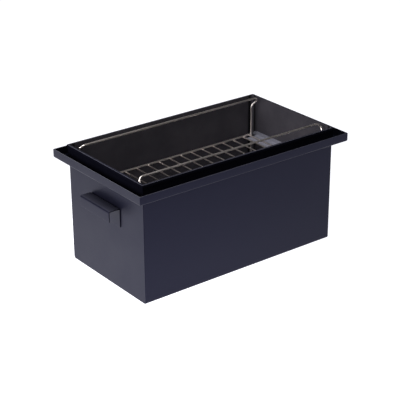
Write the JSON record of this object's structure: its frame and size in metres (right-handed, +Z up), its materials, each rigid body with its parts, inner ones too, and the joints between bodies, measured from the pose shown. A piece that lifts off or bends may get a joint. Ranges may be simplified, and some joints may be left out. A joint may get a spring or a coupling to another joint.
{
  "type": "hot smoker box",
  "caption": "Rectangular sheet-steel hot-smoker box with a water-seal gutter round its mouth, end handles, drip tray and a lift-out wire rack with long bails.",
  "frame": {"origin": "middle of the underside of the box, on the surface that it stands on", "axes": "+X along the box from the left handle to the right handle, +Y from the front long side to the back, +Z up"},
  "size_m": [0.556, 0.3156, 0.2695],
  "materials": {
    "painted_body": "satin powder coat",
    "painted_gutter": "satin powder coat",
    "painted_weld": "satin powder coat over weld",
    "painted_handle": "satin powder coat",
    "painted_ledge": "satin powder coat",
    "tray_steel": "brushed stainless sheet",
    "tray_wire": "drawn stainless wire",
    "rack_cross_wire": "drawn stainless wire",
    "rack_frame_wire": "drawn stainless wire"
  },
  "bodies": {
    "box": {"body_wrap": "painted_body", "left_end_panel": "painted_body", "right_end_panel": "painted_body", "back_side_gutter": "painted_gutter", "front_side_gutter": "painted_gutter", "left_end_gutter": "painted_gutter", "right_end_gutter": "painted_gutter", "back_side_gutter_welds": "painted_weld", "base_welds": "painted_weld", "corner_welds": "painted_weld", "front_side_gutter_welds": "painted_weld", "left_end_gutter_welds": "painted_weld", "right_end_gutter_welds": "painted_weld", "left_handle": "painted_handle", "right_handle": "painted_handle", "left_support_ledge": "painted_ledge", "right_support_ledge": "painted_ledge"},
    "tray": {"left_tray_foot": "tray_wire", "left_tray_grip": "tray_wire", "right_tray_foot": "tray_wire", "right_tray_grip": "tray_wire", "tray_pan": "tray_steel", "tray_rim": "tray_steel"},
    "rack": {"back_bail": "rack_frame_wire", "back_grid_rail": "rack_frame_wire", "cross_wire_01": "rack_cross_wire", "cross_wire_02": "rack_cross_wire", "cross_wire_03": "rack_cross_wire", "cross_wire_04": "rack_cross_wire", "cross_wire_05": "rack_cross_wire", "cross_wire_06": "rack_cross_wire", "cross_wire_07": "rack_cross_wire", "cross_wire_08": "rack_cross_wire", "cross_wire_09": "rack_cross_wire", "cross_wire_10": "rack_cross_wire", "cross_wire_11": "rack_cross_wire", "cross_wire_12": "rack_cross_wire", "cross_wire_13": "rack_cross_wire", "cross_wire_14": "rack_cross_wire", "cross_wire_15": "rack_cross_wire", "front_bail": "rack_frame_wire", "front_grid_rail": "rack_frame_wire", "left_end_wire": "rack_cross_wire", "right_end_wire": "rack_cross_wire"}
  },
  "joints": [
    {"name": "tray_lift", "type": "slide", "parent": "box", "child": "tray", "axis": [0, 0, 1], "range_m": [0, 0.27]},
    {"name": "rack_lift", "type": "slide", "parent": "tray", "child": "rack", "axis": [0, 0, 1], "range_m": [0, 0.2]}
  ]
}
